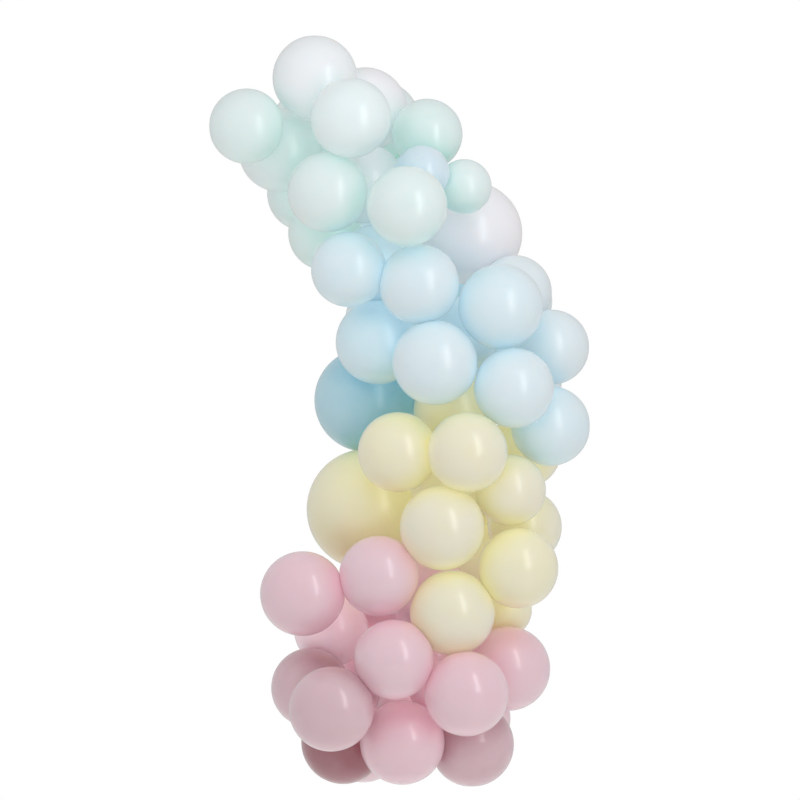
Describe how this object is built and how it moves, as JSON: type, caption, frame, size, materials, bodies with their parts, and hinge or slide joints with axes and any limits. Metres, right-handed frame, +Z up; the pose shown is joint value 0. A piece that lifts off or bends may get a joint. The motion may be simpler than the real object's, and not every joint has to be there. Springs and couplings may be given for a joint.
{
  "type": "balloon garland",
  "caption": "Curved hanging column of round latex balloons shading from white and mint through pale blue and yellow to pink, gathered on a clear strip.",
  "frame": {"origin": "middle of the flat back face of the clear strip's top tail, where the garland is fixed to the wall or frame behind", "axes": "+Z up, +Y towards the wall behind, +X to the right as seen from the front"},
  "size_m": [0.9521, 0.7092, 1.882],
  "materials": {
    "white_latex": "satin, slightly translucent",
    "mint_latex": "satin, slightly translucent",
    "pale_blue_latex": "satin, slightly translucent",
    "sky_blue_latex": "satin, slightly translucent",
    "yellow_latex": "satin, slightly translucent",
    "pink_latex": "satin, slightly translucent",
    "clear_strip": "clear, smooth"
  },
  "bodies": {
    "root": {"behind_foot": "pink_latex", "behind_left_high": "pale_blue_latex", "behind_left_low": "pink_latex", "behind_middle": "yellow_latex", "behind_right_high": "pale_blue_latex", "behind_right_low": "pink_latex", "behind_right_middle": "yellow_latex", "behind_top": "mint_latex", "blue_1": "pale_blue_latex", "blue_11": "pale_blue_latex", "blue_12": "pale_blue_latex", "blue_2": "pale_blue_latex", "blue_3": "pale_blue_latex", "blue_4": "pale_blue_latex", "blue_5": "pale_blue_latex", "blue_6": "pale_blue_latex", "blue_7": "pale_blue_latex", "blue_8": "pale_blue_latex", "blue_9": "pale_blue_latex", "ice_1": "pale_blue_latex", "mint_1": "mint_latex", "mint_2": "mint_latex", "mint_3": "mint_latex", "mint_4": "mint_latex", "mint_5": "mint_latex", "mint_6": "mint_latex", "mint_7": "mint_latex", "mint_8": "mint_latex", "mint_9": "mint_latex", "pink_1": "pink_latex", "pink_10": "pink_latex", "pink_11": "pink_latex", "pink_12": "pink_latex", "pink_13": "pink_latex", "pink_2": "pink_latex", "pink_3": "pink_latex", "pink_4": "pink_latex", "pink_5": "pink_latex", "pink_6": "pink_latex", "pink_7": "pink_latex", "pink_8": "pink_latex", "pink_9": "pink_latex", "sky_10": "sky_blue_latex", "strip": "clear_strip", "white_1": "white_latex", "white_2": "white_latex", "white_3": "white_latex", "white_4": "white_latex", "yellow_1": "yellow_latex", "yellow_10": "yellow_latex", "yellow_11": "yellow_latex", "yellow_12": "yellow_latex", "yellow_2": "yellow_latex", "yellow_3": "yellow_latex", "yellow_4": "yellow_latex", "yellow_5": "yellow_latex", "yellow_6": "yellow_latex", "yellow_7": "yellow_latex", "yellow_8": "yellow_latex", "yellow_9": "yellow_latex"}
  },
  "joints": []
}
